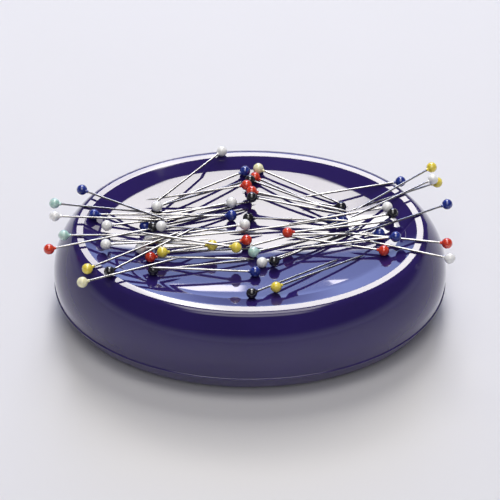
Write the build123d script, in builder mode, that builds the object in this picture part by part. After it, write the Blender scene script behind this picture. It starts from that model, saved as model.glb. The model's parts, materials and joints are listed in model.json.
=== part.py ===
from build123d import *
import os
from math import asin, cos, degrees, hypot, radians, sin, sqrt, tan

import numpy as np

# Magnetic pin bowl. Millimetres and degrees, +Z up, +X along the long side.
# The origin is the middle of the pad's underside, which stands on the table.

# Rim crest: the highest line of the bowl is an ellipse, and the walls are parallel to it
crest_half_length = 47.0
crest_half_width = 30.0
crest_height = 29.0

# Wall of the upper shell, seen in a cut square to the crest
shell_wall = 2.0
crest_radius = 3.2
crest_turn = 50
shoulder_radius = 23.7
skirt_height = 4.0
skirt_draft = 0.2
lip_round = 0.35

# Dish: a sloping band inside the crest, then a gently hollow floor
band_width = 5.6
band_slope = 17
floor_sag = 2.2
floor_thickness = 2.0

# Base cover: set in below the shell's lip, it curves in to a flat underside
base_inset = 1.0
base_wall = 2.0
base_floor = 2.4
base_curve_turn = 45
base_edge_radius = 1.6
locating_rib_height = 2.5
locating_rib_clearance = 0.1

# Pad under the base
pad_thickness = 1.6
pad_stand = 0.8
pad_margin = 3.0
pad_edge_gap = 0.15

# Magnets, the steel plate that joins them below, and the foam that presses the plate up
magnet_length = 20.0
magnet_width = 26.0
magnet_height = 8.0
magnet_end_room = 6.4
magnet_edge = 0.6
pocket_clearance = 0.2
pocket_rib = 1.2
pocket_depth = 6.0
keeper_overhang = 1.0
keeper_width = 24.0
keeper_thickness = 1.5
keeper_corner = 2.0
foam_side = 16.0
foam_thickness = 3.0
post_radius = 7.0
post_wall = 1.6

# Screws that hold the base to the shell, one at each end and one at each side
end_screw_margin = 6.5
side_screw_margin = 10.0
boss_radius = 3.2
boss_cover = 0.6
screw_head_room = 0.6
screw_radius = 1.45
screw_length = 10.0
screw_head_radius = 2.8
screw_head_height = 2.0
screw_point = 1.2
cross_slot_width = 0.8
cross_slot_length = 3.4
cross_slot_depth = 1.1
bore_clearance = 0.05
bore_spare = 2.0
base_boss_radius = 4.6
base_boss_web = 1.6
screw_hole_radius = 1.7
counterbore_radius = 3.1

# Glass-headed pins
pin_length = 30.0
pin_shaft_radius = 0.3
pin_point_length = 2.6
pin_tip_radius = 0.04
pin_head_radius = 1.5
pin_neck_radius = 0.5
pin_neck_length = 2.0
pin_socket_start = 0.4
glass_clearance = 0.01
pin_gap = 0.06

# How the pins settle: the magnet pulls each at its balance share, and it turns a little
# either way to find its lowest place, if that gains more height than its turn costs
balance_share = 0.63
settle_turn = 8
settle_step = 2
turn_cost = 0.06
stations = 144

# How far forms run into each other where they join, and cuts run past what they cut
overlap = 1.0

# Each pin: glass colour, where its head lies as shares of the crest's half length and
# half width, the way its point lies in degrees, and whether it can be pulled off along
# its own length, lifted straight up, or is held by pins that lie over it. In the order laid.
pin_place_shares = [
    ("blue", -0.62, 0.07, 21, "held"),
    ("black", -0.57, 0.02, 21, "held"),
    ("black", -0.56, 0.24, 12, "held"),
    ("white", -0.52, -0.02, 4, "held"),
    ("white", -0.59, -0.10, 16, "held"),
    ("red", -0.58, -0.33, 3, "held"),
    ("yellow", -0.51, -0.32, 11, "held"),
    ("black", -0.56, -0.51, 13, "held"),
    ("white", -0.64, -0.22, 8, "held"),
    ("white", -0.55, 0.23, 29, "held"),
    ("black", 0.54, 0.32, 165, "held"),
    ("blue", 0.48, 0.17, 189, "held"),
    ("blue", 0.55, 0.14, 195, "held"),
    ("ivory", 0.05, 0.80, -30, "held"),
    ("blue", -0.03, 0.77, 210, "held"),
    ("red", 0.03, 0.70, -32, "held"),
    ("black", 0.00, 0.62, -26, "held"),
    ("red", -0.02, 0.52, 188, "held"),
    ("red", 0.01, 0.43, -14, "held"),
    ("black", 0.01, 0.33, -10, "held"),
    ("white", -0.11, 0.36, 200, "held"),
    ("blue", -0.11, 0.22, 182, "held"),
    ("black", -0.01, 0.21, 1, "held"),
    ("white", -0.03, 0.05, 184, "held"),
    ("red", -0.02, -0.11, 184, "held"),
    ("yellow", -0.22, -0.23, 178, "held"),
    ("green", 0.02, -0.24, 22, "held"),
    ("white", 0.07, -0.37, 25, "held"),
    ("black", 0.14, -0.38, 30, "held"),
    ("white", -0.84, 0.00, 4, "held"),
    ("white", -0.84, -0.23, 5, "held"),
    ("black", -0.81, -0.59, 35, "held"),
    ("blue", -0.92, 0.16, 2, "held"),
    ("white", 0.81, 0.22, 191, "held"),
    ("black", 0.84, 0.13, 190, "held"),
    ("blue", 0.76, -0.04, 179, "held"),
    ("red", 0.78, -0.27, 164, "held"),
    ("green", -1.09, -0.09, 3, "pull"),
    ("white", -1.15, 0.12, -5, "pull"),
    ("red", -1.17, -0.28, 6, "pull"),
    ("green", -1.16, 0.34, -7, "pull"),
    ("blue", -1.00, 0.48, -27, "pull"),
    ("yellow", -0.94, -0.52, 24, "pull"),
    ("ivory", -0.96, -0.75, 30, "pull"),
    ("white", -0.17, 0.98, 231, "lift"),
    ("red", 1.15, -0.20, 171, "pull"),
    ("white", 1.16, -0.39, 171, "pull"),
    ("blue", 1.17, 0.33, 200, "pull"),
    ("blue", 0.90, 0.61, 194, "held"),
    ("yellow", 1.12, 0.62, 215, "pull"),
    ("white", 1.09, 0.58, 217, "lift"),
    ("yellow", 1.09, 0.78, 223, "pull"),
    ("black", 0.01, -0.81, 32, "held"),
    ("yellow", 0.15, -0.74, 32, "lift"),
    ("blue", 0.03, -0.50, 174, "lift"),
    ("yellow", -0.08, -0.31, 169, "lift"),
    ("red", 0.22, -0.10, 3, "lift"),
    ("blue", 0.85, -0.16, 182, "lift"),
]

os.makedirs("parts", exist_ok=True)

# Places that follow from the sizes above. In a cut square to the crest, "reach" is the
# distance outwards from the crest line and heights are from the table.
crest_sine = sin(radians(crest_turn))
crest_cosine = cos(radians(crest_turn))
band_rise = tan(radians(band_slope))
crest_centre_z = crest_height - crest_radius
shoulder_centre = (
    (crest_radius - shoulder_radius) * crest_sine,
    crest_centre_z + (crest_radius - shoulder_radius) * crest_cosine,
)
girth_reach = shoulder_centre[0] + shoulder_radius
girth_z = shoulder_centre[1]
lip_z = girth_z - skirt_height
lip_reach = girth_reach - skirt_draft
band_start_reach = crest_radius * sin(radians(band_slope))
band_start_z = crest_centre_z + crest_radius * cos(radians(band_slope))
crease_z = band_start_z - (band_width - band_start_reach) * band_rise

dish_half_length = crest_half_length - band_width
dish_half_width = crest_half_width - band_width
dish_ratio = dish_half_width / dish_half_length
floor_radius = (dish_half_length**2 + floor_sag**2) / (2 * floor_sag)
floor_middle_z = crease_z - floor_sag

underside_z = pad_stand
base_floor_z = underside_z + base_floor
base_reach = lip_reach - base_inset
base_curve_sine = sin(radians(base_curve_turn))
base_curve_cosine = cos(radians(base_curve_turn))
base_curve_radius = (
    lip_z - underside_z - base_edge_radius * (1 - base_curve_cosine)
) / base_curve_sine
base_flat_reach = (
    base_reach - base_curve_radius * (1 - base_curve_cosine) - base_edge_radius * base_curve_sine
)

pad_half_length = crest_half_length - pad_margin
pad_half_width = crest_half_width - pad_margin

# the magnets stand that much in from the dish's ends, and the plate reaches past both
magnet_x = dish_half_length - magnet_end_room - magnet_length / 2
magnet_spacing = 2 * magnet_x
keeper_length = magnet_spacing + magnet_length + 2 * keeper_overhang
magnet_top_z = floor_middle_z - floor_thickness
keeper_top_z = magnet_top_z - magnet_height
foam_top_z = keeper_top_z - keeper_thickness
post_top_z = foam_top_z - foam_thickness

screw_head_z = pad_thickness + screw_head_room + screw_head_height
boss_foot_z = screw_head_z + base_boss_web
end_screw_x = crest_half_length - end_screw_margin
side_screw_y = crest_half_width - side_screw_margin
screw_places = [(-end_screw_x, 0), (end_screw_x, 0), (0, -side_screw_y), (0, side_screw_y)]

pin_reach = pin_length - pin_head_radius
pin_balance = balance_share * pin_reach


def floor_height(x, y):
    """Height of the hollow floor: a ball's inside, pressed narrow across the bowl."""
    return floor_middle_z + floor_radius - np.sqrt(floor_radius**2 - x**2 - (y / dish_ratio) ** 2)


# The crest line, and the plane at its end that the wall sections are drawn on
with BuildLine() as crest_line:
    EllipticalCenterArc((0, 0), crest_half_length, crest_half_width, 0, arc_size=360)
section_plane = Plane(origin=(crest_half_length, 0, 0), x_dir=(1, 0, 0), z_dir=(0, -1, 0))


def slab(top_drop, bottom_z):
    """Solid under the floor's curve, down to its own curve or to a level bottom."""
    middle = (0, floor_middle_z + floor_radius)
    half_length = dish_half_length + overlap
    top_radius = floor_radius + top_drop
    with BuildPart() as form:
        with BuildSketch(Plane.XZ):
            with BuildLine():
                top_turn = degrees(asin(half_length / top_radius))
                top = CenterArc(middle, top_radius, -90, top_turn)
                if bottom_z is None:
                    low_radius = floor_radius + floor_thickness
                    low_turn = degrees(asin(half_length / low_radius))
                    low = CenterArc(middle, low_radius, -90, low_turn)
                    Line(top @ 1, low @ 1)
                    Line(low @ 0, top @ 0)
                else:
                    corner = (half_length, bottom_z)
                    Polyline(top @ 1, corner, (0, bottom_z), top @ 0)
            make_face()
        revolve(axis=Axis.Z)
        scale(by=(1, dish_ratio, 1))
    return form.part


pocket_length = magnet_length + 2 * pocket_clearance
pocket_width = magnet_width + 2 * pocket_clearance


def magnet_seats():
    """Level blocks under the floor for the magnets to seat on, cut off at the floor's curve."""
    with BuildPart() as seats:
        add(slab(floor_thickness / 2, magnet_top_z))
        with BuildSketch(Plane.XY.offset(magnet_top_z)):
            with GridLocations(magnet_spacing, 0, 2, 1):
                Rectangle(pocket_length + 2 * pocket_rib, pocket_width + 2 * pocket_rib)
        extrude(amount=crest_height - magnet_top_z, mode=Mode.INTERSECT)
    return seats.part


floor_form = slab(0, None)
seat_form = magnet_seats()

# Upper shell: rim, skirt and dish in one moulding, with the magnets' pockets and the
# screw bosses under the dish
with BuildPart() as upper_shell:
    with BuildSketch(section_plane) as wall_section:
        with BuildLine():
            crest_out = CenterArc(
                (0, crest_centre_z), crest_radius, 90 + band_slope, -(band_slope + crest_turn)
            )
            shoulder_out = CenterArc(
                shoulder_centre, shoulder_radius, 90 - crest_turn, crest_turn - 90
            )
            skirt_out = Line(shoulder_out @ 1, (lip_reach, lip_z))
            lip = Line(skirt_out @ 1, (lip_reach - shell_wall, lip_z))
            Line(lip @ 1, (girth_reach - shell_wall, girth_z))
            CenterArc(
                shoulder_centre, shoulder_radius - shell_wall, 0, 90 - crest_turn
            )
            crest_in = CenterArc(
                (0, crest_centre_z), crest_radius - shell_wall, 90 - crest_turn,
                crest_turn + band_slope,
            )
            tongue_reach = -(band_width + overlap)
            tongue_drop = ((crest_in @ 1).X - tongue_reach) * band_rise
            band_under = Line(crest_in @ 1, (tongue_reach, (crest_in @ 1).Y - tongue_drop))
            tongue = Line(band_under @ 1, (tongue_reach, crease_z - overlap * band_rise))
            Line(tongue @ 1, crest_out @ 0)
        make_face()
        fillet(wall_section.vertices().group_by(Axis.Y)[0].sort_by(Axis.X)[-1], lip_round)
    sweep(path=crest_line.line)
    add(floor_form)
    add(seat_form)
    # ribs round each magnet
    with BuildSketch(Plane.XY.offset(magnet_top_z - pocket_depth)):
        with GridLocations(magnet_spacing, 0, 2, 1):
            Rectangle(pocket_length + 2 * pocket_rib, pocket_width + 2 * pocket_rib)
            Rectangle(pocket_length, pocket_width, mode=Mode.SUBTRACT)
    extrude(amount=pocket_depth + floor_thickness / 4)
    # screw bosses, each ending inside the floor above it
    for x, y in screw_places:
        near = (abs(x) - boss_radius if x else 0, abs(y) - boss_radius if y else 0)
        boss_top_z = float(floor_height(*near)) - boss_cover
        with BuildSketch(Plane.XY.offset(boss_foot_z)):
            with Locations((x, y)):
                Circle(boss_radius)
        extrude(amount=boss_top_z - boss_foot_z)
    with BuildSketch(Plane.XY.offset(boss_foot_z)):
        with Locations(*screw_places):
            Circle(screw_radius + bore_clearance)
    extrude(amount=screw_length + bore_spare, mode=Mode.SUBTRACT)

# Base cover: a shallow tub that closes the shell from below
with BuildPart() as base_cover:
    with BuildSketch(section_plane):
        with BuildLine():
            curve_middle = (base_reach - base_curve_radius, lip_z)
            curve_out = CenterArc(curve_middle, base_curve_radius, 0, -base_curve_turn)
            edge_middle = (base_flat_reach, underside_z + base_edge_radius)
            edge_out = CenterArc(
                edge_middle, base_edge_radius, -base_curve_turn, base_curve_turn - 90
            )
            flat_reach = base_flat_reach - overlap
            flat = Line(edge_out @ 1, (flat_reach, underside_z))
            curve_in = CenterArc(curve_middle, base_curve_radius - base_wall, 0, -base_curve_turn)
            Polyline(flat @ 1, (flat_reach, (curve_in @ 1).Y), curve_in @ 1)
            rib_top_z = lip_z + locating_rib_height
            rib_reach = lip_reach - shell_wall - locating_rib_clearance
            Polyline(
                curve_in @ 0,
                (base_reach - base_wall, rib_top_z),
                (rib_reach, rib_top_z),
                (rib_reach, lip_z),
                curve_out @ 0,
            )
        make_face()
    sweep(path=crest_line.line)
    plate_reach = base_flat_reach - overlap / 2
    with BuildSketch(Plane.XY.offset(underside_z)):
        Ellipse(crest_half_length + plate_reach, crest_half_width + plate_reach)
    extrude(amount=base_floor)
    # posts under the foam, and bosses round the screw heads
    with BuildSketch(Plane.XY.offset(base_floor_z)):
        with GridLocations(magnet_spacing, 0, 2, 1):
            Circle(post_radius)
            Circle(post_radius - post_wall, mode=Mode.SUBTRACT)
    extrude(amount=post_top_z - base_floor_z)
    with BuildSketch(Plane.XY.offset(base_floor_z)):
        with Locations(*screw_places):
            Circle(base_boss_radius)
    extrude(amount=boss_foot_z - base_floor_z)
    with BuildSketch(Plane.XY):
        Ellipse(pad_half_length + pad_edge_gap, pad_half_width + pad_edge_gap)
    extrude(amount=pad_thickness, mode=Mode.SUBTRACT)
    with BuildSketch(Plane.XY):
        with Locations(*screw_places):
            Circle(counterbore_radius)
    extrude(amount=screw_head_z, mode=Mode.SUBTRACT)
    with BuildSketch(Plane.XY):
        with Locations(*screw_places):
            Circle(screw_hole_radius)
    extrude(amount=boss_foot_z + overlap, mode=Mode.SUBTRACT)

with BuildPart() as anti_slip_pad:
    with BuildSketch(Plane.XY):
        Ellipse(pad_half_length, pad_half_width)
    extrude(amount=pad_thickness)


def magnet(side):
    """Ferrite block in its pocket, on the left for a side of -1, on the right for 1."""
    with BuildPart() as block:
        with BuildSketch(Plane.XY.offset(keeper_top_z)):
            with Locations((side * magnet_x, 0)):
                Rectangle(magnet_length, magnet_width)
        extrude(amount=magnet_height)
        chamfer(block.edges().filter_by(Axis.Z), magnet_edge)
    return block.part


with BuildPart() as keeper_plate:
    with BuildSketch(Plane.XY.offset(foam_top_z)):
        RectangleRounded(keeper_length, keeper_width, keeper_corner)
    extrude(amount=keeper_thickness)


def foam_pad(side):
    """Square of foam pressed between the keeper plate and a post of the base."""
    with BuildPart() as square:
        with BuildSketch(Plane.XY.offset(post_top_z)):
            with Locations((side * magnet_x, 0)):
                Rectangle(foam_side, foam_side)
        extrude(amount=foam_thickness)
    return square.part


# Pan-head screws, driven up through the base into the shell's bosses
with BuildPart() as screw_form:
    with BuildSketch(Plane.XZ):
        with BuildLine():
            dome_start_z = -screw_head_height / 2
            Polyline(
                (0, screw_length),
                (screw_radius / 4, screw_length),
                (screw_radius, screw_length - screw_point),
                (screw_radius, 0),
                (screw_head_radius, 0),
                (screw_head_radius, dome_start_z),
            )
            dome = TangentArc(
                (screw_head_radius, dome_start_z),
                (screw_head_radius / 2, -screw_head_height),
                tangent=(0, -1),
            )
            Polyline(dome @ 1, (0, -screw_head_height), (0, screw_length))
        make_face()
    revolve(axis=Axis.Z)
    with BuildSketch(Plane.XY.offset(-screw_head_height)):
        Rectangle(cross_slot_length, cross_slot_width)
        Rectangle(cross_slot_width, cross_slot_length)
    extrude(amount=cross_slot_depth, mode=Mode.SUBTRACT)

with BuildPart() as base_screws:
    with Locations(*[(x, y, screw_head_z) for x, y in screw_places]):
        add(screw_form.part)


# Where a pin lies. A ball of radius r stands on the bowl where its centre is r away from
# the surface, and a pin is a row of balls: head, neck and shaft.
def crest_distance(x, y):
    """Distance outwards from the crest line, found by stepping along the ellipse's evolute."""
    length, width = crest_half_length, crest_half_width
    across, along = abs(x), abs(y)
    u = np.full_like(across, sqrt(0.5))
    v = u.copy()
    for _ in range(5):
        evolute_x = (length**2 - width**2) * u**3 / length
        evolute_y = (width**2 - length**2) * v**3 / width
        bend = np.hypot(length * u - evolute_x, width * v - evolute_y)
        away = np.hypot(across - evolute_x, along - evolute_y)
        u = np.clip(((across - evolute_x) * bend / away + evolute_x) / length, 0, 1)
        v = np.clip(((along - evolute_y) * bend / away + evolute_y) / width, 0, 1)
        size = np.hypot(u, v)
        u, v = u / size, v / size
    gap = np.hypot(across - length * u, along - width * v)
    return np.where((across / length) ** 2 + (along / width) ** 2 > 1, gap, -gap)


def ball_height(x, y, r):
    """Least height of the middle of a ball of radius r that lies on the bowl."""
    reach = crest_distance(x, y)
    over_crest = crest_centre_z + np.sqrt(np.maximum((crest_radius + r) ** 2 - reach**2, 0))
    past_shoulder = (shoulder_radius + r) ** 2 - (reach - shoulder_centre[0]) ** 2
    over_shoulder = shoulder_centre[1] + np.sqrt(np.maximum(past_shoulder, 0))
    over_shoulder = np.where(past_shoulder > 0, over_shoulder, 0)
    over_band = (
        band_start_z + (reach + band_start_reach) * band_rise + r / cos(radians(band_slope))
    )
    height = np.where(reach > -(crest_radius + r) * sin(radians(band_slope)), over_crest, over_band)
    height = np.where(reach > (crest_radius + r) * crest_sine, over_shoulder, height)
    hollow = np.minimum(np.hypot(x, y / dish_ratio), dish_half_length + overlap)
    over_floor = floor_middle_z + floor_radius - np.sqrt((floor_radius - r) ** 2 - hollow**2)
    return np.where(reach < overlap - band_width, np.maximum(height, over_floor), height)


station = np.linspace(0, pin_reach, stations)
station_radius = np.where(station < pin_neck_length, pin_neck_radius, pin_shaft_radius)
station_radius[0] = pin_head_radius


def heights_along(x, y, turn, laid):
    """Least height at each station of a pin, over the bowl and over the pins laid before."""
    px, py = x + cos(turn) * station, y + sin(turn) * station
    least = ball_height(px, py, station_radius)
    for other in laid:
        dx, dy = px - other["x"], py - other["y"]
        along = dx * cos(other["turn"]) + dy * sin(other["turn"])
        across = dx * sin(other["turn"]) - dy * cos(other["turn"])
        room = (station_radius + pin_head_radius + pin_gap) ** 2 - dx**2 - dy**2
        over_head = np.where(room > 0, other["z"] + np.sqrt(np.maximum(room, 0)), 0)
        other_radius = np.where(along < pin_neck_length, pin_neck_radius, pin_shaft_radius)
        touch = station_radius + other_radius + pin_gap
        room = touch**2 - across**2
        level = other["z"] + other["slope"] * along
        tilt = sqrt(1 + other["slope"] ** 2)
        beside = (room > 0) & (along > 0) & (along < pin_reach + touch)
        over_shaft = np.where(beside, level + tilt * np.sqrt(np.maximum(room, 0)), 0)
        least = np.maximum(least, np.maximum(over_head, over_shaft))
    return least


def rest(least):
    """The pin bridges two of its stations, one each side of its balance point: the two
    whose straight line stands highest over that point. Returns that height, the height of
    the head and the slope of the pin."""
    headward = station < pin_balance
    near, far = station[headward][:, None], station[~headward][None, :]
    near_z, far_z = least[headward][:, None], least[~headward][None, :]
    bridge = (near_z * (far - pin_balance) + far_z * (pin_balance - near)) / (far - near)
    i, j = np.unravel_index(bridge.argmax(), bridge.shape)
    slope = (far_z[0, j] - near_z[i, 0]) / (far[0, j] - near[i, 0])
    return bridge[i, j], near_z[i, 0] - slope * near[i, 0], slope


laid_pins = []
for colour, x_share, y_share, heading, freedom in pin_place_shares:
    x, y = x_share * crest_half_length, y_share * crest_half_width
    choices = []
    for nudge in range(-settle_turn, settle_turn + 1, settle_step):
        turn = radians(heading + nudge)
        _, z, slope = rest(heights_along(x, y, turn, laid_pins))
        highest = max(z, z + slope * pin_reach)
        choices.append((highest + abs(nudge) * turn_cost, abs(nudge), z, slope, turn))
    _, _, z, slope, turn = min(choices)
    laid_pins.append(
        {"x": x, "y": y, "z": z, "slope": slope, "turn": turn, "colour": colour, "freedom": freedom}
    )


def pin_place(pin):
    """The plane of a pin: origin in the middle of its head, X towards its point."""
    size = hypot(1, pin["slope"])
    run = (cos(pin["turn"]) / size, sin(pin["turn"]) / size, pin["slope"] / size)
    up = (-run[2] * cos(pin["turn"]), -run[2] * sin(pin["turn"]), 1 / size)
    return Plane(origin=(pin["x"], pin["y"], pin["z"]), x_dir=run, z_dir=up)


# One pin along +X: the steel shaft, and the glass melted round its blunt end
with BuildPart() as shaft_form:
    with BuildSketch(Plane.XY):
        with BuildLine():
            Polyline(
                (pin_socket_start + glass_clearance, 0),
                (pin_socket_start + glass_clearance, pin_shaft_radius),
                (pin_reach - pin_point_length, pin_shaft_radius),
                (pin_reach, pin_tip_radius),
                (pin_reach, 0),
                close=True,
            )
        make_face()
    revolve(axis=Axis.X)

with BuildPart() as head_form:
    with BuildSketch(Plane.XY):
        with BuildLine():
            neck_meet = degrees(asin(pin_neck_radius / pin_head_radius))
            ball = CenterArc((0, 0), pin_head_radius, 180, neck_meet - 180)
            socket_radius = pin_shaft_radius + glass_clearance
            Polyline(
                ball @ 1,
                (pin_neck_length, (pin_neck_radius + socket_radius) / 2),
                (pin_neck_length, socket_radius),
                (pin_socket_start, socket_radius),
                (pin_socket_start, 0),
                ball @ 0,
            )
        make_face()
    revolve(axis=Axis.X)


def copies(form, pins):
    """The form set at each pin's place, as separate solids of one node."""
    with BuildPart() as group:
        with Locations(*[pin_place(pin) for pin in pins]):
            add(form.part)
    return group.part


pieces = {
    "upper_shell": upper_shell.part,
    "base_cover": base_cover.part,
    "anti_slip_pad": anti_slip_pad.part,
    "magnet_left": magnet(-1),
    "magnet_right": magnet(1),
    "keeper_plate": keeper_plate.part,
    "foam_pad_left": foam_pad(-1),
    "foam_pad_right": foam_pad(1),
    "base_screws": base_screws.part,
}
free_pins = [pin for pin in laid_pins if pin["freedom"] != "held"]
held_pins = [pin for pin in laid_pins if pin["freedom"] == "held"]
for number, pin in enumerate(free_pins, start=1):
    pieces[f"pin_{number:02d}_shaft"] = copies(shaft_form, [pin])
    pieces[f"pin_{number:02d}_head"] = copies(head_form, [pin])
pieces["held_pin_shafts"] = copies(shaft_form, held_pins)
for colour in sorted({pin["colour"] for pin in held_pins}):
    same = [pin for pin in held_pins if pin["colour"] == colour]
    pieces[f"held_{colour}_heads"] = copies(head_form, same)

for name, piece in pieces.items():
    piece.label = name
    export_step(piece, f"parts/{name}.step")
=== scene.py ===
import json
import math

import bpy
import numpy as np
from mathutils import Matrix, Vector

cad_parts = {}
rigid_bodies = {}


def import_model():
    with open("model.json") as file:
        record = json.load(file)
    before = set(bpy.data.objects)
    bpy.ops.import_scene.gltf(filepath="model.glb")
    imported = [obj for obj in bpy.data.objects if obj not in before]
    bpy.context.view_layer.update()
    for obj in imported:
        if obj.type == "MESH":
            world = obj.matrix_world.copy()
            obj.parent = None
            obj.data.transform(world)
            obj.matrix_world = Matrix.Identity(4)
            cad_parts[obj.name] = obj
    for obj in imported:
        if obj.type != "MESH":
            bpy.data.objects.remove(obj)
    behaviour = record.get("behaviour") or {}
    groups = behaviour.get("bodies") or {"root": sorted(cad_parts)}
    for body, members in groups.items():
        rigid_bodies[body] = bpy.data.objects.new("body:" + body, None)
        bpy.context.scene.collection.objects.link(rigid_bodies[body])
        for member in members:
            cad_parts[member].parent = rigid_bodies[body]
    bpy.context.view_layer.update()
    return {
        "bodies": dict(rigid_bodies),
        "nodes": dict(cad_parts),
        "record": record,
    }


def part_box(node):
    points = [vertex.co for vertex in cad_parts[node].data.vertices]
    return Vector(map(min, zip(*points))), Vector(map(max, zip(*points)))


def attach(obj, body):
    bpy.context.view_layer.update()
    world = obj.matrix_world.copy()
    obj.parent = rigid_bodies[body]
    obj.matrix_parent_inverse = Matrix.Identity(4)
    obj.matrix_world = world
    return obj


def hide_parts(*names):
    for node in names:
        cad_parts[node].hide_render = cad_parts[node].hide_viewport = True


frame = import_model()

# Magnetic pin bowl. Lengths are in millimetres up to the moment a mesh or a light is made.
mm = 0.001
sharpTurn = 40      # degrees between two faces, above which their edge is left sharp


def cadBox(node):
    # the low and high corners of a node's bounds
    low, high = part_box(node)
    return np.array(low) / mm, np.array(high) / mm


def sineCosine(degrees):
    return math.sin(math.radians(degrees)), math.cos(math.radians(degrees))


# Surfaces: a grid of rows, each row a closed ring of points

def surface(rows, startPole=None, endPole=None, loop=False):
    # joins each ring to the next with four-sided faces; a pole closes an end with a fan, and
    # loop joins the last ring to the first; faces are turned outwards by the sign of the volume
    ringCount, across = rows.shape[:2]
    index = np.arange(ringCount * across).reshape(ringCount, across)
    points = [rows.reshape(-1, 3)]
    rings = np.vstack([index, index[:1]]) if loop else index
    near, far = rings[:-1], rings[1:]
    quads = np.stack([near, far, np.roll(far, -1, 1), np.roll(near, -1, 1)], -1).reshape(-1, 4)
    fans, number = [], ringCount * across
    for pole, ring, backwards in ((startPole, index[0], False), (endPole, index[-1], True)):
        if pole is None:
            continue
        points.append(np.array([pole], float))
        first, second = (np.roll(ring, -1), ring) if backwards else (ring, np.roll(ring, -1))
        fans.append(np.stack([np.full(across, number), first, second], -1))
        number += 1
    points = np.concatenate(points)
    fans = np.concatenate(fans) if fans else np.zeros((0, 3), int)
    split = np.concatenate([quads[:, [0, 1, 2]], quads[:, [0, 2, 3]], fans])
    a, b, c = (points[split[:, k]] for k in range(3))
    if (np.cross(a, b) * c).sum() < 0:
        quads, fans = quads[:, ::-1], fans[:, ::-1]
    return points, quads, fans


def makePiece(name, surfaces, material, body, replaced, places=None):
    # several surfaces become one mesh in metres, smooth but for edges sharper than sharpTurn
    points, faces, start = [], [], 0
    for surfacePoints, quads, fans in surfaces:
        points.append(surfacePoints)
        faces += (quads + start).tolist() + (fans + start).tolist()
        start += len(surfacePoints)
    mesh = bpy.data.meshes.new(name)
    mesh.from_pydata(np.concatenate(points) * mm, [], faces)
    mesh.polygons.foreach_set("use_smooth", np.ones(len(mesh.polygons), bool))
    mesh.set_sharp_from_angle(angle=math.radians(sharpTurn))
    if places is not None:      # each point's own place along and around its pin
        own = mesh.attributes.new("pinPlace", "FLOAT_VECTOR", "POINT")
        own.data.foreach_set("vector", (np.concatenate(places) * mm).ravel())
    mesh.materials.append(material)
    piece = bpy.data.objects.new(name, mesh)
    bpy.context.scene.collection.objects.link(piece)
    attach(piece, body)
    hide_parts(*replaced)
    return piece


def arc(centre, radius, first, last, count):
    # points on a circle between two angles in degrees
    turns = np.radians(np.linspace(first, last, count))
    return np.column_stack([centre[0] + radius * np.cos(turns), centre[1] + radius * np.sin(turns)])


def line(start, end, count):
    # points evenly along a straight line, both ends included
    return np.linspace(start, end, count)


def roundTurns(count):
    # equal turns once round, in radians
    return np.linspace(0, 2 * np.pi, count, endpoint=False)


def unitCircle(count):
    turns = roundTurns(count)
    return np.stack([np.cos(turns), np.sin(turns)], -1)


# Shader nodes: a wire is one output socket, and sums and products of wires add Math nodes

class Wire:
    def __init__(self, tree, socket):
        self.tree, self.socket = tree, socket

    def node(self, kind, settings=None, values=None, output=0):
        # any other node: its settings first, then a value or a wire for each of its sockets
        made = self.tree.nodes.new(kind)
        for setting, value in (settings or {}).items():
            setattr(made, setting, value)
        for socket, value in (values or {}).items():
            if isinstance(value, Wire):
                self.tree.links.new(value.socket, made.inputs[socket])
            else:
                made.inputs[socket].default_value = value
        return Wire(self.tree, made.outputs[output])

    def math(self, operation, first, second):
        return self.node("ShaderNodeMath", {"operation": operation}, {0: first, 1: second})

    def __add__(self, other):
        return self.math("ADD", self, other)

    def __sub__(self, other):
        return self.math("SUBTRACT", self, other)

    def __rsub__(self, other):
        return self.math("SUBTRACT", other, self)

    def __mul__(self, other):
        return self.math("MULTIPLY", self, other)

    __radd__ = __add__


def newFinish(name, **constants):
    # a glossy-shader material; returns it, a wire of Object coordinates, and a way to feed sockets
    material = bpy.data.materials.new(name)
    material.use_nodes = True
    tree = material.node_tree
    shader = tree.nodes["Principled BSDF"]
    for socket, value in constants.items():
        shader.inputs[socketNames[socket]].default_value = value
    place = Wire(tree, tree.nodes.new("ShaderNodeTexCoord").outputs["Object"])

    def feed(**wires):
        for socket, wire in wires.items():
            tree.links.new(wire.socket, shader.inputs[socketNames[socket]])

    return material, place, feed


socketNames = {
    "colour": "Base Color", "rough": "Roughness", "metal": "Metallic", "index": "IOR",
    "coat": "Coat Weight", "coatRough": "Coat Roughness", "coatIndex": "Coat IOR",
    "normal": "Normal", "soft": "Subsurface Weight", "softReach": "Subsurface Radius",
    "softScale": "Subsurface Scale", "sheen": "Sheen Weight",
    "glow": "Emission Strength", "glowColour": "Emission Color",
}


def noise(place, size, detail=2.0, rough=0.5, output=0):
    # soft clouds whose lumps are about size millimetres across; output 1 is the coloured kind
    return place.node("ShaderNodeTexNoise", None, {
        "Vector": place, "Scale": 1 / (size * mm), "Detail": detail, "Roughness": rough}, output)


def cells(place, size):
    # distance to the nearest of scattered points about size millimetres apart, 0 to about 1
    return place.node("ShaderNodeTexVoronoi", {"feature": "F1"}, {
        "Vector": place, "Scale": 1 / (size * mm)})


def stretched(place, scale, turn=0.0):
    # the same place with each axis scaled, after a turn about Z in degrees
    return place.node("ShaderNodeMapping", {"vector_type": "POINT"}, {
        "Vector": place, "Scale": scale, "Rotation": (0.0, 0.0, math.radians(turn))})


def step(wire, low, high):
    # 0 at low, 1 at high and a smooth change between; low may be the larger of the two
    return wire.node("ShaderNodeMapRange", {"interpolation_type": "SMOOTHSTEP"}, {
        "Value": wire, "From Min": low, "From Max": high})


def blendColour(share, first, second):
    # the Mix node has sockets for every kind of value: 6 and 7 take colours, and output 2 is one
    return share.node("ShaderNodeMix", {"data_type": "RGBA"}, {0: share, 6: first, 7: second}, 2)


def bump(height, depth):
    # raises the surface by depth millimetres where height is 1
    return height.node("ShaderNodeBump", None, {"Height": height, "Distance": depth * mm})


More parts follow.
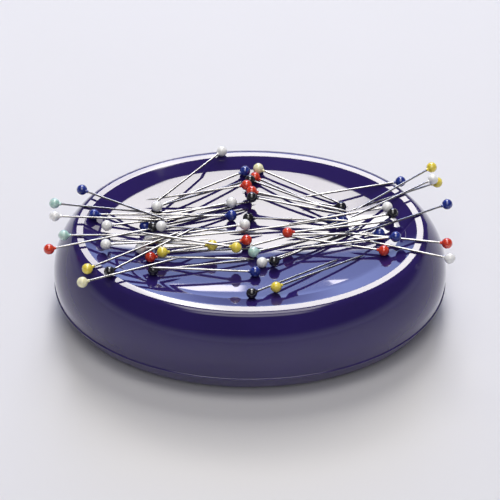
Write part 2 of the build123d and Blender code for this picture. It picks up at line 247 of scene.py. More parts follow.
hairline = {"gapShare": 0.6, "gap": (0.5, 0.62), "crest": (0.66, 0.70)}


def hairlines(place, turn, spacing, length):
    # thin straight scratches: clouds drawn out along one direction and cut to their crests, with
    # gaps where wider clouds are low
    drawn = stretched(place, (1.0, spacing / length, 1.0), turn)
    streaks = noise(drawn, spacing, detail=3.0, rough=0.55)
    gaps = step(noise(place, length * hairline["gapShare"]), *hairline["gap"])
    return step(streaks, *hairline["crest"]) * gaps


# Finishes: in each look, sizes and depths are in millimetres, heights are shares of the depth,
# and a pair of numbers is the low and high of a step

def shellPlastic():
    # deep violet gloss moulding: fine mica, a soft haze of handling and hairline scratches
    look = {
        "dark": (0.017, 0.009, 0.084, 1), "light": (0.031, 0.017, 0.138, 1), "toneSize": 26,
        "mica": (0.07, 0.05, 0.20, 1), "micaSize": 0.16, "micaGrain": (0.32, 0.10),
        "micaPatchSize": 0.9, "micaPatch": (0.45, 0.7), "micaShare": 0.35,
        "gloss": 0.035, "haze": 0.05, "hazeSize": 14, "scratch": 0.16,
        "waveSize": 22, "waveDepth": 0.05, "scratchHeight": 0.012,
        "scratches": ((24, 0.09, 7), (-52, 0.08, 5)),       # turn, spacing and length
    }
    material, place, feed = newFinish(
        "shellPlastic", index=1.25, coat=1.0, coatRough=0.012, coatIndex=1.5)
    tone = blendColour(noise(place, look["toneSize"], detail=3.0), look["dark"], look["light"])
    grain = step(cells(place, look["micaSize"]), *look["micaGrain"])
    mica = grain * step(noise(place, look["micaPatchSize"]), *look["micaPatch"])
    first, second = (hairlines(place, *one) for one in look["scratches"])
    scratch = first + second
    haze = noise(place, look["hazeSize"], detail=4.0) * look["haze"]
    wave = noise(place, look["waveSize"], detail=1.0)
    feed(colour=blendColour(mica * look["micaShare"], tone, look["mica"]),
         rough=look["gloss"] + haze + scratch * look["scratch"],
         normal=bump(wave - scratch * look["scratchHeight"], look["waveDepth"]))
    return material


def basePlastic():
    # the same violet, moulded with a fine spark texture that takes the gloss down
    look = {
        "dark": (0.018, 0.010, 0.078, 1), "light": (0.034, 0.020, 0.125, 1), "toneSize": 18,
        "grainSize": 0.22, "grainDepth": 0.02, "grainRough": 0.12, "gloss": 0.30,
        "rubSize": 9, "rub": (0.52, 0.75), "rubShine": 0.10,
    }
    material, place, feed = newFinish(
        "basePlastic", index=1.52, coat=0.35, coatRough=0.22, coatIndex=1.5)
    grain = noise(place, look["grainSize"], detail=4.0, rough=0.6)
    rub = step(noise(place, look["rubSize"], detail=3.0), *look["rub"])
    feed(colour=blendColour(noise(place, look["toneSize"], detail=3.0), look["dark"], look["light"]),
         rough=look["gloss"] + grain * look["grainRough"] - rub * look["rubShine"],
         normal=bump(grain, look["grainDepth"]))
    return material


def padRubber():
    # fine-celled black rubber, dusty where it has stood
    look = {
        "black": (0.014, 0.014, 0.015, 1), "dusty": (0.075, 0.072, 0.068, 1), "dustSize": 7,
        "dust": (0.5, 0.78), "dustShare": 0.6, "cellSize": 0.5, "cellDepth": 0.05,
        "rough": 0.72, "cellRough": 0.2,
    }
    material, place, feed = newFinish("padRubber", index=1.45)
    grain = cells(place, look["cellSize"])
    dust = step(noise(place, look["dustSize"], detail=5.0, rough=0.65), *look["dust"])
    feed(colour=blendColour(dust * look["dustShare"], look["black"], look["dusty"]),
         rough=look["rough"] + grain * look["cellRough"],
         normal=bump(grain, look["cellDepth"]))
    return material


def ferrite():
    # fired black ferrite with grinding lines across it and small chipped pits
    look = {
        "dark": (0.030, 0.030, 0.033, 1), "grey": (0.085, 0.084, 0.088, 1), "cloudSize": 5,
        "cloudShare": 0.4, "lay": (0.06, 1.0, 1.0), "lineSize": 0.25, "lineShare": 0.6,
        "lineHeight": 0.4, "pitSize": 1.1, "pit": (0.10, 0.04), "pitDepth": 0.06,
        "rough": 0.45, "lineRough": 0.2, "pitRough": 0.25,
    }
    material, place, feed = newFinish("ferrite", index=1.9)
    ground = noise(stretched(place, look["lay"]), look["lineSize"], detail=3.0)
    pits = step(cells(place, look["pitSize"]), *look["pit"])
    tone = ground * look["lineShare"] + noise(place, look["cloudSize"]) * look["cloudShare"]
    feed(colour=blendColour(tone, look["dark"], look["grey"]),
         rough=look["rough"] + ground * look["lineRough"] + pits * look["pitRough"],
         normal=bump(ground * look["lineHeight"] - pits, look["pitDepth"]))
    return material


def platedSteel(name, bright, dull, lay):
    # zinc-plated sheet or screw: rolled lines along lay and cloudy passivation
    look = {
        "lineSize": 0.12, "lineDepth": 0.012, "lineRough": 0.08, "cloudSize": 6,
        "cloudRough": 0.16, "rough": 0.26, "filmSize": 2.2, "film": (0.68, 0.8), "filmShare": 0.35,
    }
    material, place, feed = newFinish(name)
    lines = noise(stretched(place, lay), look["lineSize"], detail=3.0)
    clouds = noise(place, look["cloudSize"], detail=4.0, rough=0.6)
    film = step(noise(place, look["filmSize"], detail=4.0), *look["film"])
    feed(colour=blendColour(clouds, dull, bright),
         metal=1.0 - film * look["filmShare"],
         rough=look["rough"] + clouds * look["cloudRough"] + lines * look["lineRough"],
         normal=bump(lines, look["lineDepth"]))
    return material


def foamSheet():
    # charcoal closed-cell foam, whose cut faces show the cells, with painted shade darkening the hollow
    # of each cell
    look = {
        "shadedPore": (0.010, 0.010, 0.011, 1), "rim": (0.085, 0.085, 0.090, 1), "poreSize": 0.6,
        "pore": (0.15, 0.6), "poreDepth": 0.22, "rough": 0.88, "poreRough": 0.1,
    }
    material, place, feed = newFinish("foamSheet", index=1.4, sheen=0.2)
    pores = cells(place, look["poreSize"])
    # painted shade: the sunken middle of each cell takes the near-black colour, the cell walls the
    # charcoal
    feed(colour=blendColour(step(pores, *look["pore"]), look["shadedPore"], look["rim"]),
         rough=look["rough"] + pores * look["poreRough"],
         normal=bump(pores, look["poreDepth"]))
    return material


def pinSteel():
    # nickel-plated drawn wire: bright, with faint lines along the pin and a few duller patches
    look = {
        "bright": (0.38, 0.37, 0.36, 1), "dull": (0.27, 0.26, 0.25, 1), "lay": (0.05, 1.0, 1.0),
        "lineSize": 0.08, "lineDepth": 0.004, "lineRough": 0.08, "patchSize": 3.5,
        "patch": (0.5, 0.75), "patchFilm": 0.08, "patchRough": 0.10, "rough": 0.14,
    }
    material, place, feed = newFinish("pinSteel")
    own = place.node("ShaderNodeAttribute", {"attribute_name": "pinPlace"}, None, 1)
    drawn = noise(stretched(own, look["lay"]), look["lineSize"])
    patches = step(noise(own, look["patchSize"], detail=3.0), *look["patch"])
    feed(colour=blendColour(patches, look["bright"], look["dull"]),
         metal=1.0 - patches * look["patchFilm"],
         rough=look["rough"] + drawn * look["lineRough"] + patches * look["patchRough"],
         normal=bump(drawn, look["lineDepth"]))
    return material


glassColours = {        # body of the glass, and the tone of its thin swirls
    "white": ((0.92, 0.92, 0.91, 1), (0.96, 0.96, 0.95, 1)),
    "green": ((0.40, 0.66, 0.58, 1), (0.62, 0.80, 0.75, 1)),
    "yellow": ((0.86, 0.67, 0.045, 1), (0.92, 0.78, 0.14, 1)),
    "ivory": ((0.90, 0.85, 0.48, 1), (0.94, 0.91, 0.66, 1)),
    "red": ((0.62, 0.030, 0.012, 1), (0.80, 0.07, 0.02, 1)),
    "blue": ((0.010, 0.023, 0.21, 1), (0.022, 0.050, 0.34, 1)),
    "black": ((0.006, 0.006, 0.008, 1), (0.018, 0.018, 0.024, 1)),
}
glass = {
    "softReach": 0.6, "warpSize": 1.6, "warp": 2.0, "swirlSize": 0.8, "swirl": (0.35, 0.7),
    "swirlRough": 0.05, "swirlHeight": 0.5, "seedSize": 0.55, "seed": (0.09, 0.05),
    "seedDepth": 0.010, "rough": 0.05,
}


def headGlass(colour):
    # opaque lamp-worked glass: faint swirls of tone, fire-polished, with a few tiny seeds
    body, swirl = glassColours[colour]
    material, place, feed = newFinish(
        "glass" + colour.title(), index=1.52, coat=1.0, coatRough=0.01, coatIndex=1.5,
        soft=0.12, softReach=(1.0, 1.0, 1.0), softScale=glass["softReach"] * mm)
    warp = place.node("ShaderNodeVectorMath", {"operation": "MULTIPLY_ADD"}, {
        0: noise(place, glass["warpSize"], output=1), 1: (glass["warp"] * mm,) * 3, 2: place})
    swirls = noise(warp, glass["swirlSize"])
    seeds = step(cells(place, glass["seedSize"]), *glass["seed"])
    feed(colour=blendColour(step(swirls, *glass["swirl"]), body, swirl),
         rough=glass["rough"] + swirls * glass["swirlRough"],
         normal=bump(swirls * glass["swirlHeight"] - seeds, glass["seedDepth"]))
    return material


finishes = {
    "shell": shellPlastic(), "base": basePlastic(), "pad": padRubber(), "ferrite": ferrite(),
    "keeper": platedSteel(
        "keeperSteel", bright=(0.72, 0.73, 0.76, 1), dull=(0.50, 0.51, 0.55, 1), lay=(0.04, 1, 1)),
    "screw": platedSteel(
        "screwSteel", bright=(0.76, 0.74, 0.66, 1), dull=(0.56, 0.54, 0.48, 1), lay=(1, 1, 0.1)),
    "foam": foamSheet(), "pin": pinSteel(),
}
for colour in glassColours:
    finishes[colour] = headGlass(colour)
print("finishes made:", len(finishes))


# The bowl: its outline in a cut square to the crest, carried round the crest's ellipse.
# "Reach" is the distance outwards from the crest line, and heights are from the table.

ends = ("left", "right")
bowl = {
    "crestRadius": 3.2, "crestTurn": 50, "landEdge": 0.4, "landCrown": 0.8,
    "shoulderRadius": 23.7, "skirtHeight": 4.0, "skirtDraft": 0.2, "lipRound": 0.35,
    "lipBead": 0.25, "wall": 2.0, "bandWidth": 5.6, "bandSlope": 17, "floorSag": 2.2,
    "floorThickness": 2.0, "creaseSoftness": 0.12, "creaseInside": 1.2, "creaseOutside": 1.0,
    "underStart": 1.0, "pocketRib": 1.2, "pocketClearance": 0.2, "pocketDepth": 6.0,
    "bossRadius": 3.2, "bossCover": 0.6, "around": 384,
}
shellHigh = cadBox("upper_shell")[1]
crestSine, crestCosine = sineCosine(bowl["crestTurn"])
bandSine, bandCosine = sineCosine(bowl["bandSlope"])
crestCentreZ = shellHigh[2] - bowl["crestRadius"]
shoulderReach = (bowl["crestRadius"] - bowl["shoulderRadius"]) * crestSine
girthReach = shoulderReach + bowl["shoulderRadius"]
girthZ = crestCentreZ + (bowl["crestRadius"] - bowl["shoulderRadius"]) * crestCosine
lipZ = girthZ - bowl["skirtHeight"]
lipReach = girthReach - bowl["skirtDraft"]
crestHalf = shellHigh[:2] - girthReach          # the crest ellipse's half length and half width
bandStartReach = bowl["crestRadius"] * bandSine
bandStartZ = crestCentreZ + bowl["crestRadius"] * bandCosine
bandRise = bandSine / bandCosine
dishHalf = crestHalf - bowl["bandWidth"]
dishRatio = dishHalf[1] / dishHalf[0]
creaseZ = bandStartZ - (bowl["bandWidth"] - bandStartReach) * bandRise
floorMiddleZ = creaseZ - bowl["floorSag"]
floorRadius = (dishHalf[0] ** 2 + bowl["floorSag"] ** 2) / (2 * bowl["floorSag"])


def crestRings(reach):
    # the crest ellipse moved outwards by each reach along its own normal: rings by points by x, y
    circle = unitCircle(bowl["around"])
    normal = crestHalf[::-1] * circle
    normal /= np.linalg.norm(normal, axis=1, keepdims=True)
    return crestHalf * circle + np.reshape(reach, (-1, 1, 1)) * normal


def ovalRings(halfLength, halfWidth):
    # ellipses about the middle, one for each pair of half sizes
    circle = unitCircle(bowl["around"])
    return np.stack([np.outer(halfLength, circle[:, 0]), np.outer(halfWidth, circle[:, 1])], -1)


def raised(rings, height):
    # puts rings at one height, at a height each, or at heights for every point
    if np.ndim(height):
        height = np.reshape(height, (len(rings), -1))
    return np.concatenate([rings, np.broadcast_to(height, rings.shape[:2])[..., None]], -1)


def outline(points):
    # an outline of reach and height pairs carried round the crest
    return raised(crestRings(points[:, 0]), points[:, 1])


def dishHeight(rings, reach=None):
    # the hollow floor is a ball's inside pressed narrow across the bowl; near the crease it
    # meets the sloping band, and the higher of the two wins, with a little roundness between
    x, y = rings[..., 0], rings[..., 1]
    floor = floorMiddleZ + floorRadius - np.sqrt(floorRadius**2 - x**2 - (y / dishRatio) ** 2)
    if reach is None:
        return floor
    band = bandStartZ + (np.reshape(reach, (-1, 1)) + bandStartReach) * bandRise
    soft = np.maximum(bowl["creaseSoftness"] - np.abs(floor - band), 0)
    return np.maximum(floor, band) + soft**2 / (4 * bowl["creaseSoftness"])


def boss(x, y, inner, outer, lowZ, highZ, sides=48):
    # a round tube standing on its end, its ends square
    radii = np.reshape([outer, outer, inner, inner], (-1, 1, 1))
    rings = unitCircle(sides) * radii + (x, y)
    return surface(raised(rings, [lowZ, highZ, highZ, lowZ]), loop=True)


def frameBlock(x, halfLength, halfWidth, lowZ, highZ, wall=None):
    # a square-cornered block, or with a wall a rectangular frame open up and down
    corners = np.array([(1, 1), (-1, 1), (-1, -1), (1, -1)])
    outer = corners * (halfLength, halfWidth) + (x, 0)
    if wall is None:
        rings = np.array([outer, outer])
        return surface(raised(rings, [lowZ, highZ]), (x, 0, lowZ), (x, 0, highZ))
    inner = corners * (halfLength - wall, halfWidth - wall) + (x, 0)
    rings = np.array([outer, outer, inner, inner])
    return surface(raised(rings, [lowZ, highZ, highZ, lowZ]), loop=True)


def crestLand():
    # along the crest runs a narrow land, a little crowned, with both its edges rounded over
    slope, crown, edge = bowl["bandSlope"], bowl["landCrown"], bowl["landEdge"]
    offset = bowl["crestRadius"] - edge
    inner = (-offset * bandSine, crestCentreZ + offset * bandCosine)
    outer = (offset * bandSine, inner[1])
    crownCentre = (0, inner[1] - offset * bandSine / math.tan(math.radians(crown)))
    crownRadius = edge + offset * bandSine / math.sin(math.radians(crown))
    return np.concatenate([
        arc(inner, edge, 90 + slope, 90 + crown, count=6),
        arc(crownCentre, crownRadius, 90 + crown, 90 - crown, count=9)[1:-1],
        arc(outer, edge, 90 - crown, 90 - slope, count=6),
    ])


def shellSurface():
    # out from the middle of the dish, over the crest and down to the lip, then back up inside;
    # the rows are closest on both sides of the crease between the floor and the band
    radius, turn, slope = bowl["crestRadius"], bowl["crestTurn"], bowl["bandSlope"]
    shoulder, wall, lipRound = bowl["shoulderRadius"], bowl["wall"], bowl["lipRound"]
    shoulderCentre, crestCentre = (shoulderReach, girthZ), (0, crestCentreZ)
    floorEnd = -(bowl["bandWidth"] + bowl["creaseInside"])
    creaseEnd = -(bowl["bandWidth"] - bowl["creaseOutside"])
    shares = np.sin(line(0, np.pi / 2, count=34)[1:-1])[:, None, None]
    floorRings = crestRings([floorEnd]) * shares
    bandReach = np.concatenate([
        line(floorEnd, creaseEnd, count=30),
        line(creaseEnd, -bandStartReach, count=9)[1:-1],
    ])
    bandRings = crestRings(bandReach)
    corner = (lipReach - lipRound + bowl["lipBead"], lipZ + lipRound)
    beadTurn = math.degrees(math.acos(1 - bowl["lipBead"] / lipRound))
    beadTop = corner[1] + lipRound * math.sin(math.radians(beadTurn))
    outside = np.concatenate([
        crestLand(),
        arc(crestCentre, radius, 90 - slope, 90 - turn, count=16)[1:],
        arc(shoulderCentre, shoulder, 90 - turn, 0, count=30)[1:],
        line((girthReach, girthZ), (lipReach, beadTop), count=5)[1:-1],
        arc(corner, lipRound, beadTurn, -90, count=12),
        line((corner[0], lipZ), (lipReach - wall, lipZ), count=3)[1:],
        line((lipReach - wall, lipZ), (girthReach - wall, girthZ), count=4)[1:],
        arc(shoulderCentre, shoulder - wall, 0, 90 - turn, count=14)[1:],
        arc(crestCentre, radius - wall, 90 - turn, 90 + slope, count=10)[1:],
    ])
    underReach = line(-(radius - wall) * bandSine - bowl["underStart"], floorEnd, count=8)
    underRings = crestRings(underReach)
    thickness = bowl["floorThickness"]
    rows = np.concatenate([
        raised(floorRings, dishHeight(floorRings)),
        raised(bandRings, dishHeight(bandRings, bandReach)),
        outline(outside),
        raised(underRings, dishHeight(underRings, underReach) - thickness),
        raised(floorRings, dishHeight(floorRings) - thickness)[::-1],
    ])
    return surface(rows, (0, 0, floorMiddleZ), (0, 0, floorMiddleZ - thickness))


screws = {"headRadius": 2.8, "radius": 1.45, "length": 10.0, "clearance": 0.05}
screwHigh = cadBox("base_screws")[1]
screwSeatZ = screwHigh[2] - screws["length"]
endX, sideY = screwHigh[:2] - screws["headRadius"]
screwPlaces = [(-endX, 0), (endX, 0), (0, -sideY), (0, sideY)]
base = {
    "inset": 1.0, "wall": 2.0, "floor": 2.4, "curveTurn": 45, "edgeRadius": 1.6, "ribHeight": 2.5,
    "ribClearance": 0.1, "padEdgeGap": 0.15, "postRadius": 7.0, "postWall": 1.6, "postSink": 0.1,
    "bossRadius": 4.6, "bossWeb": 1.6, "screwHole": 1.7,
}
undersideZ = cadBox("base_cover")[0][2]
baseFloorZ = undersideZ + base["floor"]
bossFootZ = screwSeatZ + base["bossWeb"]
pad = {"edge": 0.3}
padHigh = cadBox("anti_slip_pad")[1]
foam = {"power": 5.0, "swell": 0.0625, "faceStart": 0.1, "around": 96}
middleShare = 0.04          # the smallest ring of the base's and the pad's flat faces


def shellInside():
    # seats and ribs round the magnets, and the screw bosses, each running up into the floor
    made = []
    for end in ends:
        low, high = cadBox("magnet_" + end)
        half = (high - low)[:2] / 2 + bowl["pocketClearance"] + bowl["pocketRib"]
        x, top = (low[0] + high[0]) / 2, high[2]
        seatTop = floorMiddleZ - bowl["floorThickness"] / 2
        made.append(frameBlock(x, *half, top, seatTop))
        made.append(frameBlock(x, *half, top - bowl["pocketDepth"], top, bowl["pocketRib"]))
    bore = screws["radius"] + screws["clearance"]
    for x, y in screwPlaces:
        near = np.maximum(np.abs((x, y)) - bowl["bossRadius"], 0)
        top = float(dishHeight(near)) - bowl["bossCover"]
        made.append(boss(x, y, bore, bowl["bossRadius"], bossFootZ, top))
    return made


def baseSurface():
    # up from the pad's recess, round the base's outside to the lip, over the rib and back inside
    recessZ, turn, edge, wall = padHigh[2], base["curveTurn"], base["edgeRadius"], base["wall"]
    reach = lipReach - base["inset"]
    sine, cosine = sineCosine(turn)
    curveRadius = (lipZ - undersideZ - edge * (1 - cosine)) / sine
    flatReach = reach - curveRadius * (1 - cosine) - edge * sine
    recess = padHigh[:2] + base["padEdgeGap"]
    ribTop = lipZ + base["ribHeight"]
    ribReach = lipReach - bowl["wall"] - base["ribClearance"]
    shares = line(middleShare, 1, count=14)
    under = ovalRings(recess[0] * shares, recess[1] * shares)
    rim = ovalRings([recess[0]] * 2, [recess[1]] * 2)
    shareOut = line(0, 1, count=6)[1:-1, None, None]
    flat = crestRings([flatReach]) * shareOut + ovalRings([recess[0]], [recess[1]]) * (1 - shareOut)
    outside = np.concatenate([
        arc((flatReach, undersideZ + edge), edge, -90, -turn, count=9),
        arc((reach - curveRadius, lipZ), curveRadius, -turn, 0, count=22)[1:],
        line((reach, lipZ), (ribReach, lipZ), count=3)[1:],
        line((ribReach, lipZ), (ribReach, ribTop), count=3)[1:],
        line((ribReach, ribTop), (reach - wall, ribTop), count=3)[1:],
        line((reach - wall, ribTop), (reach - wall, lipZ), count=3)[1:],
        arc((reach - curveRadius, lipZ), curveRadius - wall, 0, -turn, count=14)[1:],
    ])
    innerReach, innerZ = outside[-1]
    shareIn = line(1, middleShare, count=12)[1:, None, None]
    inside = crestRings([innerReach]) * shareIn
    outside[-1] = innerReach, max(innerZ, baseFloorZ)
    rows = np.concatenate([
        raised(under, recessZ), raised(rim, [(recessZ + undersideZ) / 2, undersideZ]),
        raised(flat, undersideZ), outline(outside), raised(inside, baseFloorZ)])
    return surface(rows, (0, 0, recessZ), (0, 0, baseFloorZ))


def baseInside():
    # ring posts under the foam and bosses round the screw heads, their feet sunk in the floor
    made = []
    footZ, outer = baseFloorZ - base["postSink"], base["postRadius"]
    for end in ends:
        low, high = cadBox("foam_pad_" + end)
        made.append(boss((low[0] + high[0]) / 2, 0, outer - base["postWall"], outer, footZ, low[2]))
    for x, y in screwPlaces:
        made.append(boss(x, y, base["screwHole"], base["bossRadius"], footZ, bossFootZ))
    return made


def padSurface():
    # an oval plate with rounded edges
    half, top = padHigh[:2], padHigh[2]
    shares = line(middleShare, 1, count=16)
    flat = np.outer(shares, half - pad["edge"])
    low = arc((0, 0), pad["edge"], -90, 0, count=5)
    edge = half[None] - pad["edge"] + low[:, :1]
    halves = np.concatenate([flat, edge[1:], edge[::-1][:-1], flat[::-1]])
    lowZ = np.concatenate([np.zeros(len(shares)), pad["edge"] + low[1:, 1]])
    heights = np.concatenate([lowZ, top - lowZ[::-1]])
    return surface(raised(ovalRings(halves[:, 0], halves[:, 1]), heights), (0, 0, 0), (0, 0, top))


def foamSurface(low, high):
    # a pressed square of foam: a superellipse in plan whose sides swell between its faces
    circle = unitCircle(foam["around"])
    square = circle / (np.abs(circle) ** foam["power"]).sum(-1, keepdims=True) ** (1 / foam["power"])
    rise = line(0, np.pi, count=11)
    swell = 1 - foam["swell"] + foam["swell"] * np.sin(rise)
    half, middle = (high - low)[:2] / 2, (high + low) / 2
    sides = square[None] * swell[:, None, None]
    shares = line(foam["faceStart"], 1, count=7)[:-1, None, None]
    face = raised(sides[:1] * shares * half + middle[:2], low[2])
    rows = np.concatenate([
        face, raised(sides * half + middle[:2], line(low[2], high[2], len(rise))),
        raised(face[::-1, :, :2], high[2])])
    return surface(rows, (*middle[:2], low[2]), (*middle[:2], high[2]))


makePiece("upperShell", [shellSurface(), *shellInside()], finishes["shell"], "bowl",
          ["upper_shell"])
makePiece("baseCover", [baseSurface(), *baseInside()], finishes["base"], "bowl",
          ["base_cover"])
makePiece("antiSlipPad", [padSurface()], finishes["pad"], "bowl", ["anti_slip_pad"])
for end in ends:
    square = makePiece("foamSquare" + end.title(), [foamSurface(*cadBox("foam_pad_" + end))],
                       finishes["foam"], "bowl", ["foam_pad_" + end])
hidden = {      # these keep the solid's shape and only get a finish
    "magnet_left": "ferrite", "magnet_right": "ferrite", "keeper_plate": "keeper",
    "base_screws": "screw",
}
for node, finish in hidden.items():
    slots = frame["nodes"][node].data.materials
    slots.clear()
    slots.append(finishes[finish])
print("bowl made")


# Pins: each shaft's line is read from the frame, and the pin is turned about it

pin = {
    "headRadius": 1.5, "neckTurn": 0.34, "neckFlare": 0.6, "neckRadius": 0.5, "neckLength": 2.0,
    "socketStart": 0.41, "socketRadius": 0.31, "shaftRadius": 0.3, "length": 28.5,
    "pointLength": 2.6, "pointPower": 1.15, "tipRadius": 0.04, "headSides": 40, "shaftSides": 20,
    "unevenness": 0.012, "leastUneven": 0.3, "noiseSpread": 90,
}
chance = np.random.default_rng(5)


def solidsOf(node):
    # splits a node's loose triangles into solids: equal corners are welded, then each point
    # takes the least label among its triangles until no label changes
    mesh = frame["nodes"][node].data
    places = np.empty(len(mesh.vertices) * 3, np.float32)
    mesh.vertices.foreach_get("co", places)
    corners = np.empty(len(mesh.loops), np.int32)
    mesh.loops.foreach_get("vertex_index", corners)
    points, which = np.unique(np.round(places.reshape(-1, 3) / mm, 3), axis=0, return_inverse=True)
    triangles = which.ravel()[corners].reshape(-1, 3)
    label = np.arange(len(points))
    while True:
        spread = label.copy()
        np.minimum.at(spread, triangles, label[triangles].min(1, keepdims=True))
        spread = spread[spread]
        if (spread == label).all():
            break
        label = spread
    return [points[label == one] for one in np.unique(label)]


def pinLine(points, endLength=0.05):
    # the middle of the head and the way the point lies, from the two ends of a shaft's solid
    middle = points.mean(0)
    direction = np.linalg.svd(points - middle)[2][0]
    along = (points - middle) @ direction
    twoEnds = [points[along < along.min() + endLength], points[along > along.max() - endLength]]
    spread = [np.linalg.norm(one - one.mean(0), axis=1).max() for one in twoEnds]
    blunt, tip = (twoEnds[k].mean(0) for k in ((0, 1) if spread[0] > spread[1] else (1, 0)))
    direction = (tip - blunt) / np.linalg.norm(tip - blunt)
    return blunt - direction * pin["socketStart"], direction


def turned(outlinePoints, centre, direction, sides, uneven):
    # an outline of distance along the pin and radius, turned about the pin's own line; also
    # gives each point's place in the pin's own axes, moved so that no two pins look the same
    side = np.cross(direction, (0, 0, 1))
    side /= np.linalg.norm(side)
    up = np.cross(side, direction)
    turns = roundTurns(sides)
    along, radius = outlinePoints[:, 0], outlinePoints[:, 1]
    phase = chance.uniform(0, 2 * np.pi)
    amount = uneven * chance.uniform(pin["leastUneven"], 1)
    wide = 1 - amount * (1 + np.cos(2 * turns + phase)) / 2
    local = np.stack([
        np.broadcast_to(along[:, None], (len(along), sides)),
        radius[:, None] * np.cos(turns) * wide, radius[:, None] * np.sin(turns) * wide], -1)
    poles = [(along[0], 0, 0), (along[-1], 0, 0)]
    axes = np.array([direction, side, up])
    made = surface(local[1:-1] @ axes + centre, poles[0] @ axes + centre, poles[1] @ axes + centre)
    moved = (0, *chance.uniform(-pin["noiseSpread"], pin["noiseSpread"], 2))
    return made, np.concatenate([local[1:-1].reshape(-1, 3), poles]) + moved


def headOutline():
    # a ball that runs into a short neck on the shaft, then back along the socket inside it
    neckEnd, socketStart, socketRadius = pin["neckLength"], pin["socketStart"], pin["socketRadius"]
    turns = line(np.pi, pin["neckTurn"], count=34)
    ball = np.column_stack([np.cos(turns), np.sin(turns)]) * pin["headRadius"]
    ball[0, 1] = 0
    start, end = ball[-1], np.array([neckEnd, (pin["neckRadius"] + socketRadius) / 2])
    share = line(0, 1, count=8)[1:, None]
    neck = start + (end - start) * np.column_stack([share, share ** pin["neckFlare"]])
    socket = [(neckEnd, socketRadius), (socketStart, socketRadius), (socketStart, 0)]
    return np.concatenate([ball, neck, socket])


def shaftOutline():
    # the wire, and a point that thins a little faster towards its end
    taperStart = pin["length"] - pin["pointLength"]
    share = line(0, 1, count=14)
    thinned = 1 - share ** pin["pointPower"]
    radius = pin["tipRadius"] + (pin["shaftRadius"] - pin["tipRadius"]) * thinned
    point = np.column_stack([taperStart + share * pin["pointLength"], radius])
    along = line(pin["socketStart"], taperStart, count=9)[:-1]
    body = np.column_stack([along, np.full(len(along), pin["shaftRadius"])])
    return np.concatenate([[(pin["socketStart"], 0)], body, point, [(pin["length"], 0)]])


pinForms = {
    "shaft": (shaftOutline(), pin["shaftSides"], 0.0),
    "head": (headOutline(), pin["headSides"], pin["unevenness"]),
}
slotNames = {row["node"]: row["material_slot"] for row in frame["record"]["subparts"]}


def finishOf(node):
    # a shaft's slot is pin_steel, and a head's is glass_ and its colour
    material, kind = slotNames[node].split("_")
    return kind if material == "glass" else material


def pinPieces(name, lines, form, node, body):
    # the shafts or heads of some pins as one piece, which takes the place of one node
    outlinePoints, sides, uneven = pinForms[form]
    made = [turned(outlinePoints, centre, direction, sides, uneven) for centre, direction in lines]
    makePiece(name, [one for one, _ in made], finishes[finishOf(node)], body,
              [node], places=[own for _, own in made])


heldLines = [pinLine(points) for points in solidsOf("held_pin_shafts")]
pinPieces("heldPinShafts", heldLines, "shaft", "held_pin_shafts", "bowl")
for node in sorted(name for name in frame["nodes"] if name.startswith("held_") and "heads" in name):
    middles = [points.mean(0) for points in solidsOf(node)]
    mine = [one for one in heldLines
            if min(np.linalg.norm(one[0] - middle) for middle in middles) < pin["headRadius"] / 2]
    assert len(mine) == len(middles), node
    pinPieces(f"held{finishOf(node).title()}Heads", mine, "head", node, "bowl")
for body in sorted(name for name in frame["bodies"] if name.startswith("pin_")):
    lines = [pinLine(points) for points in solidsOf(body + "_shaft")]
    number = body.split("_")[1]
    for form in ("shaft", "head"):
        pinPieces(f"pin{number}{form.title()}", lines, form, f"{body}_{form}", body)


# Stage, light and camera

stage = {
    "radius": 4000, "sides": 64, "colour": (0.76, 0.76, 0.78, 1), "mottleSize": 40,
    "mottleShade": 0.985, "rough": 0.85, "mottleRough": 0.1, "overhead": (0.08, 0.08, 0.10, 1),
    "horizon": (0.64, 0.65, 0.71, 1), "glowTop": 11, "farColour": (0.66, 0.67, 0.73, 1),
    "farStart": 350, "farFull": 1700,
}
camera = {"elevation": 45.5, "distance": 700, "frameWidth": 138, "aim": (0, 1.5, 19),
          "nearest": 10, "farthest": 100000}
softRim, wideRim, sharpFoot = (0.12, 0.12), (0.25, 0.40), (0.20, 0.04)
warm, sparkTint = (1.0, 0.97, 0.94), (1.0, 0.92, 0.95)
# each lamp: azimuth from the back, elevation, distance, width, height, the shares of its width
# and height over which it fades, brightness and colour
lamps = {
    "softboxBack": (4.5, 57.5, 1100, 300, 650, sharpFoot, 13.0, (1.0, 0.97, 0.92)),
    "wingLeft": (-13, 46, 1100, 300, 230, softRim, 11, warm),
    "wingRight": (31, 45, 1100, 220, 230, softRim, 4, warm),
    "coolStrip": (0, 28, 1300, 850, 740, softRim, 3.6, (0.42, 0.54, 1.0)),
    "topFill": (180, 79, 1200, 800, 500, softRim, 4.4, (1.0, 0.97, 0.93)),
    "frontFill": (180, 53, 1200, 1000, 640, wideRim, 2.4, (1.0, 0.98, 0.96)),
    "sparkLeft": (2.1, 31, 1200, 11, 55, softRim, 10, sparkTint),
    "sparkMiddle": (0.7, 30, 1200, 24, 50, softRim, 10, sparkTint),
    "sparkRight": (-1.6, 31, 1200, 9, 55, softRim, 10, sparkTint),
}


def pointAt(thing, place, aim):
    # stands a lamp or the camera at a place, looking at its aim
    thing.location = Vector(place) * mm
    thing.rotation_mode = "QUATERNION"
    thing.rotation_quaternion = (Vector(aim) - Vector(place)).to_track_quat("-Z", "Y")
    bpy.context.scene.collection.objects.link(thing)


def around(azimuth, elevation, distance, height):
    # a place seen from the bowl at that azimuth from +Y and that elevation
    sideways, back = sineCosine(azimuth)
    up, out = sineCosine(elevation)
    return distance * sideways * out, distance * back * out, height + distance * up


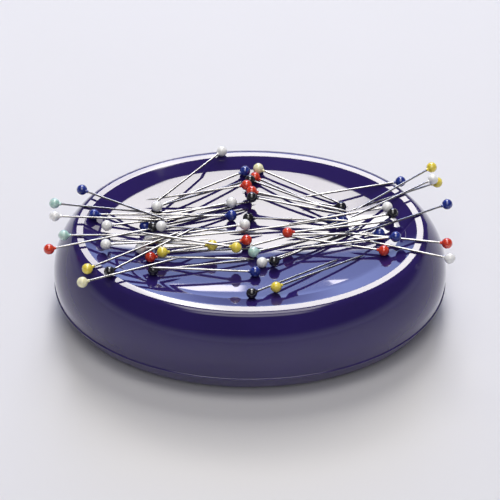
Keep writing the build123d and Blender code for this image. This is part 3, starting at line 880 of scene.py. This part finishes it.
def makeStage():
    # a wide pale floor; the lamps don't reach its far part, which glows a little instead
    circle = unitCircle(stage["sides"])
    rim = np.column_stack([circle, np.zeros(len(circle))]) * stage["radius"] * mm
    mesh = bpy.data.meshes.new("paleFloor")
    mesh.from_pydata(rim, [], [list(range(len(rim)))])
    material, place, feed = newFinish("paleFloor", index=1.3, glow=1.0)
    mottle = noise(place, stage["mottleSize"], detail=3.0)
    shaded = tuple(c * stage["mottleShade"] for c in stage["colour"])
    distance = place.node("ShaderNodeVectorMath", {"operation": "LENGTH"}, {0: place}, "Value")
    seen = 0.0
    for ray in ("Camera", "Glossy", "Transmission"):
        seen = place.node("ShaderNodeLightPath", output=f"Is {ray} Ray") + seen
    far = step(distance, stage["farStart"] * mm, stage["farFull"] * mm) * seen
    feed(colour=blendColour(mottle, stage["colour"], shaded),
         rough=stage["rough"] + mottle * stage["mottleRough"],
         glowColour=blendColour(far, (0, 0, 0, 1), stage["farColour"]))
    mesh.materials.append(material)
    floor = bpy.data.objects.new("paleFloor", mesh)
    bpy.context.scene.collection.objects.link(floor)


def fadeOut(lamp, edges):
    # a softbox is dimmer towards its rim, so its mirror image has no hard edge
    lamp.use_nodes = True
    tree = lamp.node_tree
    own = Wire(tree, tree.nodes.new("ShaderNodeNewGeometry").outputs["Parametric"])
    strength = None
    for axis, edge in enumerate(edges):
        across = own.node("ShaderNodeSeparateXYZ", None, {0: own}, axis)
        inside = step(own.math("MINIMUM", across, 1 - across), 0.0, edge)
        strength = inside if strength is None else strength * inside
    tree.links.new(strength.socket, tree.nodes["Emission"].inputs["Strength"])


def makeLamps():
    middle = (0, 0, shellHigh[2])
    for name, (azimuth, elevation, distance, width, height, edges, brightness, colour) in lamps.items():
        lamp = bpy.data.lights.new(name, "AREA")
        lamp.shape, lamp.size, lamp.size_y = "RECTANGLE", width * mm, height * mm
        lamp.energy = brightness * math.pi * lamp.size * lamp.size_y    # watts for that radiance
        lamp.color = colour
        fadeOut(lamp, edges)
        place = around(azimuth, elevation, distance, shellHigh[2])
        pointAt(bpy.data.objects.new(name, lamp), place, middle)


def makeWorld():
    # dim overhead, with a glow at the horizon that meets the pale floor
    world = bpy.data.worlds.new("studio")
    world.use_nodes = True
    tree = world.node_tree
    way = Wire(tree, tree.nodes.new("ShaderNodeTexCoord").outputs["Generated"])
    rise = way.node("ShaderNodeSeparateXYZ", None, {0: way}, 2)
    glow = step(rise, sineCosine(stage["glowTop"])[0], 0.0)
    colour = blendColour(glow, stage["overhead"], stage["horizon"])
    tree.links.new(colour.socket, tree.nodes["Background"].inputs["Color"])
    bpy.context.scene.world = world


def makeCamera():
    lens = bpy.data.cameras.new("camera")
    lens.lens = lens.sensor_width * camera["distance"] / camera["frameWidth"]
    lens.clip_start, lens.clip_end = camera["nearest"] * mm, camera["farthest"] * mm
    eye = bpy.data.objects.new("camera", lens)
    place = around(180, camera["elevation"], camera["distance"], shellHigh[2])
    pointAt(eye, place, camera["aim"])
    bpy.context.scene.camera = eye


makeStage()
makeLamps()
makeWorld()
makeCamera()
bpy.context.scene.view_settings.view_transform = "Standard"
print("stage, lamps and camera made")
